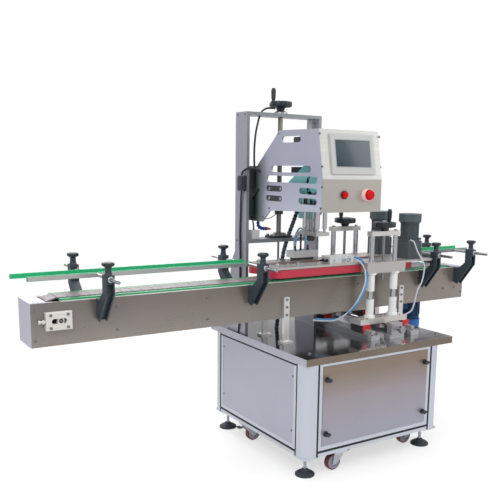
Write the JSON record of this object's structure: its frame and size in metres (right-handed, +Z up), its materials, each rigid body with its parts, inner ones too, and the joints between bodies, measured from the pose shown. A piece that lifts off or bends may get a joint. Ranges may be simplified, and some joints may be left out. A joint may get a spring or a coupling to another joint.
{
  "type": "capping machine",
  "caption": "Inline bottle capping machine: side-belt conveyor over a wheeled cabinet, with a screw-raised capping head on a column.",
  "frame": {"origin": "on the floor plane, at the centre of the machine's overall footprint; the conveyor's centre line is y = -0.0225 and its mid length x = -0.0155", "axes": "+Z up; +X along the conveyor in the direction bottles travel; -Y towards the operator, the side with the touch screen and the cabinet door"},
  "size_m": [2.091, 0.755, 1.48],
  "materials": {
    "anodised_aluminium": "satin anodised",
    "bearing_block": "cast and machined",
    "bearing_iron": "semi-gloss",
    "black_plastic": "fine grained",
    "blue_paint": "semi-gloss",
    "bracket_plastic": "fine grained",
    "bright_steel": "turned and polished",
    "button_plastic": "satin",
    "caster_tyre": "matte",
    "chromed_rod": "polished",
    "chuck_rubber": "matte",
    "column_steel": "satin",
    "conveyor_steel": "brushed along the length",
    "dark_strip": "matte",
    "door_steel": "fine brushed",
    "front_panel_steel": "brushed across",
    "green_plastic": "satin",
    "grip_plastic": "gloss",
    "handwheel_metal": "satin with a polished rim",
    "head_steel": "satin",
    "motor_paint": "satin",
    "panel_steel": "fine brushed",
    "rail_plastic": "satin",
    "rail_steel": "ground",
    "red_belt": "ribbed matte",
    "red_plastic": "gloss",
    "screen_plastic": "satin",
    "slat_plastic": "satin",
    "slide_block": "satin",
    "table_steel": "semi-mirror",
    "teal_paint": "satin",
    "unit_aluminium": "machined",
    "unit_steel": "polished",
    "zinc_steel": "zinc plated"
  },
  "bodies": {
    "frame": {"cabinet_frame": "anodised_aluminium", "slot_strips": "dark_strip", "cabinet_panels": "panel_steel", "table_top": "table_steel", "fasteners": "bright_steel", "levelling_feet": "zinc_steel", "caster_forks": "zinc_steel", "conveyor_sides": "conveyor_steel", "conveyor_end_covers": "conveyor_steel", "conveyor_supports": "conveyor_steel", "slat_chain": "slat_plastic", "wear_strips": "green_plastic", "shaft_bearings": "bearing_block", "conveyor_gear_motor": "blue_paint", "guide_brackets": "bracket_plastic", "column_frame": "column_steel", "screw_bearings": "bearing_iron", "linear_rails": "rail_steel"},
    "door": {"cabinet_door": "door_steel", "door_knobs": "black_plastic"},
    "conveyor_drive": {"drive_shaft": "bright_steel"},
    "conveyor_idler": {"idler_shaft": "bright_steel"},
    "cross_screw": {"cross_screw": "bright_steel"},
    "head": {"head_frame": "head_steel", "head_front_panel": "front_panel_steel", "operator_screen": "screen_plastic", "head_slides": "slide_block", "capping_drives": "teal_paint"},
    "button": {"push_button": "button_plastic"},
    "stop_button": {"emergency_stop": "red_plastic"},
    "head_screw": {"head_handwheel": "handwheel_metal"},
    "head_grip": {"head_crank_grip": "grip_plastic"},
    "capper": {"lift_plate": "chromed_rod"},
    "chuck": {"capping_chuck": "chuck_rubber"},
    "front_unit": {"front_carriage": "unit_steel", "front_slides": "slide_block"},
    "front_screw": {"front_handwheel": "handwheel_metal"},
    "front_grip": {"front_crank_grip": "grip_plastic"},
    "front_belt_head": {"front_belt_frame": "unit_aluminium", "front_belt": "red_belt", "front_gear_motor": "motor_paint"},
    "front_drive": {"front_drive_pulley": "bright_steel"},
    "front_idler": {"front_idler_pulley": "bright_steel"},
    "rear_unit": {"rear_carriage": "unit_steel", "rear_slides": "slide_block"},
    "rear_screw": {"rear_handwheel": "handwheel_metal"},
    "rear_grip": {"rear_crank_grip": "grip_plastic"},
    "rear_belt_head": {"rear_belt_frame": "unit_aluminium", "rear_belt": "red_belt", "rear_gear_motor": "motor_paint"},
    "rear_drive": {"rear_drive_pulley": "bright_steel"},
    "rear_idler": {"rear_idler_pulley": "bright_steel"},
    "rail_left_front": {"guide_rail_left_front": "rail_plastic"},
    "rail_left_rear": {"guide_rail_left_rear": "rail_plastic"},
    "rail_right_front": {"guide_rail_right_front": "rail_plastic"},
    "rail_right_rear": {"guide_rail_right_rear": "rail_plastic"},
    "caster_1": {"caster_wheel_1": "caster_tyre"},
    "caster_2": {"caster_wheel_2": "caster_tyre"},
    "caster_3": {"caster_wheel_3": "caster_tyre"},
    "caster_4": {"caster_wheel_4": "caster_tyre"}
  },
  "joints": [
    {"name": "head_height", "type": "slide", "parent": "frame", "child": "head", "axis": [0, 0, 1], "range_m": [-0.01, 0.12]},
    {"name": "head_screw_turn", "type": "hinge", "parent": "frame", "child": "head_screw", "pos_m": [0.087, 0.1355, 1.4], "axis": [0, 0, 1], "range_deg": [-721, 8641]},
    {"name": "head_grip_spin", "type": "hinge", "parent": "head_screw", "child": "head_grip", "pos_m": [0.051, 0.1355, 1.43], "axis": [0, 0, 1], "continuous": true},
    {"name": "capper_lift", "type": "slide", "parent": "head", "child": "capper", "axis": [0, 0, 1], "range_m": [-0.03, 0.03]},
    {"name": "chuck_spin", "type": "hinge", "parent": "capper", "child": "chuck", "pos_m": [0.1415, -0.0225, 0.905], "axis": [0, 0, 1], "continuous": true},
    {"name": "push_button_press", "type": "slide", "parent": "head", "child": "button", "axis": [0, 1, 0], "range_m": [0, 0.003]},
    {"name": "stop_button_press", "type": "slide", "parent": "head", "child": "stop_button", "axis": [0, 1, 0], "range_m": [0, 0.006]},
    {"name": "front_unit_slide", "type": "slide", "parent": "frame", "child": "front_unit", "axis": [0, -1, 0], "range_m": [-0.012, 0.006]},
    {"name": "rear_unit_slide", "type": "slide", "parent": "frame", "child": "rear_unit", "axis": [0, 1, 0], "range_m": [-0.012, 0.006]},
    {"name": "cross_screw_turn", "type": "hinge", "parent": "frame", "child": "cross_screw", "pos_m": [0.4255, -0.0225, 0.51], "axis": [0, 1, 0], "range_deg": [-865, 433]},
    {"name": "front_belt_height", "type": "slide", "parent": "front_unit", "child": "front_belt_head", "axis": [0, 0, 1], "range_m": [-0.008, 0.05]},
    {"name": "front_screw_turn", "type": "hinge", "parent": "front_unit", "child": "front_screw", "pos_m": [0.4255, -0.1525, 0.93], "axis": [0, 0, 1], "range_deg": [-577, 3601]},
    {"name": "front_grip_spin", "type": "hinge", "parent": "front_screw", "child": "front_grip", "pos_m": [0.46027, -0.14318, 0.95], "axis": [0, 0, 1], "continuous": true},
    {"name": "front_drive_spin", "type": "hinge", "parent": "front_belt_head", "child": "front_drive", "pos_m": [0.5945, -0.0925, 0.752], "axis": [0, 0, 1], "continuous": true},
    {"name": "front_idler_spin", "type": "hinge", "parent": "front_belt_head", "child": "front_idler", "pos_m": [-0.0655, -0.0925, 0.752], "axis": [0, 0, 1], "continuous": true},
    {"name": "rear_belt_height", "type": "slide", "parent": "rear_unit", "child": "rear_belt_head", "axis": [0, 0, 1], "range_m": [-0.008, 0.05]},
    {"name": "rear_screw_turn", "type": "hinge", "parent": "rear_unit", "child": "rear_screw", "pos_m": [0.4255, 0.1075, 0.93], "axis": [0, 0, 1], "range_deg": [-577, 3601]},
    {"name": "rear_grip_spin", "type": "hinge", "parent": "rear_screw", "child": "rear_grip", "pos_m": [0.39167, 0.09519, 0.95], "axis": [0, 0, 1], "continuous": true},
    {"name": "rear_drive_spin", "type": "hinge", "parent": "rear_belt_head", "child": "rear_drive", "pos_m": [0.5945, 0.0475, 0.752], "axis": [0, 0, 1], "continuous": true},
    {"name": "rear_idler_spin", "type": "hinge", "parent": "rear_belt_head", "child": "rear_idler", "pos_m": [-0.0655, 0.0475, 0.752], "axis": [0, 0, 1], "continuous": true},
    {"name": "conveyor_drive_spin", "type": "hinge", "parent": "frame", "child": "conveyor_drive", "pos_m": [0.8925, -0.0225, 0.655], "axis": [0, 1, 0], "continuous": true},
    {"name": "conveyor_idler_spin", "type": "hinge", "parent": "frame", "child": "conveyor_idler", "pos_m": [-0.9205, -0.0225, 0.655], "axis": [0, 1, 0], "continuous": true},
    {"name": "guide_left_front_slide", "type": "slide", "parent": "frame", "child": "rail_left_front", "axis": [0, -1, 0], "range_m": [-0.008, 0.03]},
    {"name": "guide_left_rear_slide", "type": "slide", "parent": "frame", "child": "rail_left_rear", "axis": [0, 1, 0], "range_m": [-0.008, 0.03]},
    {"name": "guide_right_front_slide", "type": "slide", "parent": "frame", "child": "rail_right_front", "axis": [0, -1, 0], "range_m": [-0.008, 0.03]},
    {"name": "guide_right_rear_slide", "type": "slide", "parent": "frame", "child": "rail_right_rear", "axis": [0, 1, 0], "range_m": [-0.008, 0.03]},
    {"name": "caster_1_spin", "type": "hinge", "parent": "frame", "child": "caster_1", "pos_m": [0.0505, -0.3225, 0.036], "axis": [0, 1, 0], "continuous": true},
    {"name": "caster_2_spin", "type": "hinge", "parent": "frame", "child": "caster_2", "pos_m": [0.4825, -0.2625, 0.036], "axis": [0, 1, 0], "continuous": true},
    {"name": "caster_3_spin", "type": "hinge", "parent": "frame", "child": "caster_3", "pos_m": [-0.0535, 0.0975, 0.036], "axis": [0, 1, 0], "continuous": true},
    {"name": "caster_4_spin", "type": "hinge", "parent": "frame", "child": "caster_4", "pos_m": [0.5285, 0.0975, 0.036], "axis": [0, 1, 0], "continuous": true},
    {"name": "door_lift_off", "type": "slide", "parent": "frame", "child": "door", "axis": [0, -1, 0], "range_m": [0, 0.12]}
  ],
  "couplings": [
    {"joint": "head_screw_turn", "follows": "head_height", "rad_per_m": 1256.6},
    {"joint": "rear_unit_slide", "follows": "front_unit_slide", "ratio": 1},
    {"joint": "cross_screw_turn", "follows": "front_unit_slide", "rad_per_m": 1256.6},
    {"joint": "front_screw_turn", "follows": "front_belt_height", "rad_per_m": 1256.6},
    {"joint": "front_idler_spin", "follows": "front_drive_spin", "ratio": 1},
    {"joint": "rear_screw_turn", "follows": "rear_belt_height", "rad_per_m": 1256.6},
    {"joint": "rear_idler_spin", "follows": "rear_drive_spin", "ratio": 1},
    {"joint": "conveyor_idler_spin", "follows": "conveyor_drive_spin", "ratio": 1}
  ]
}
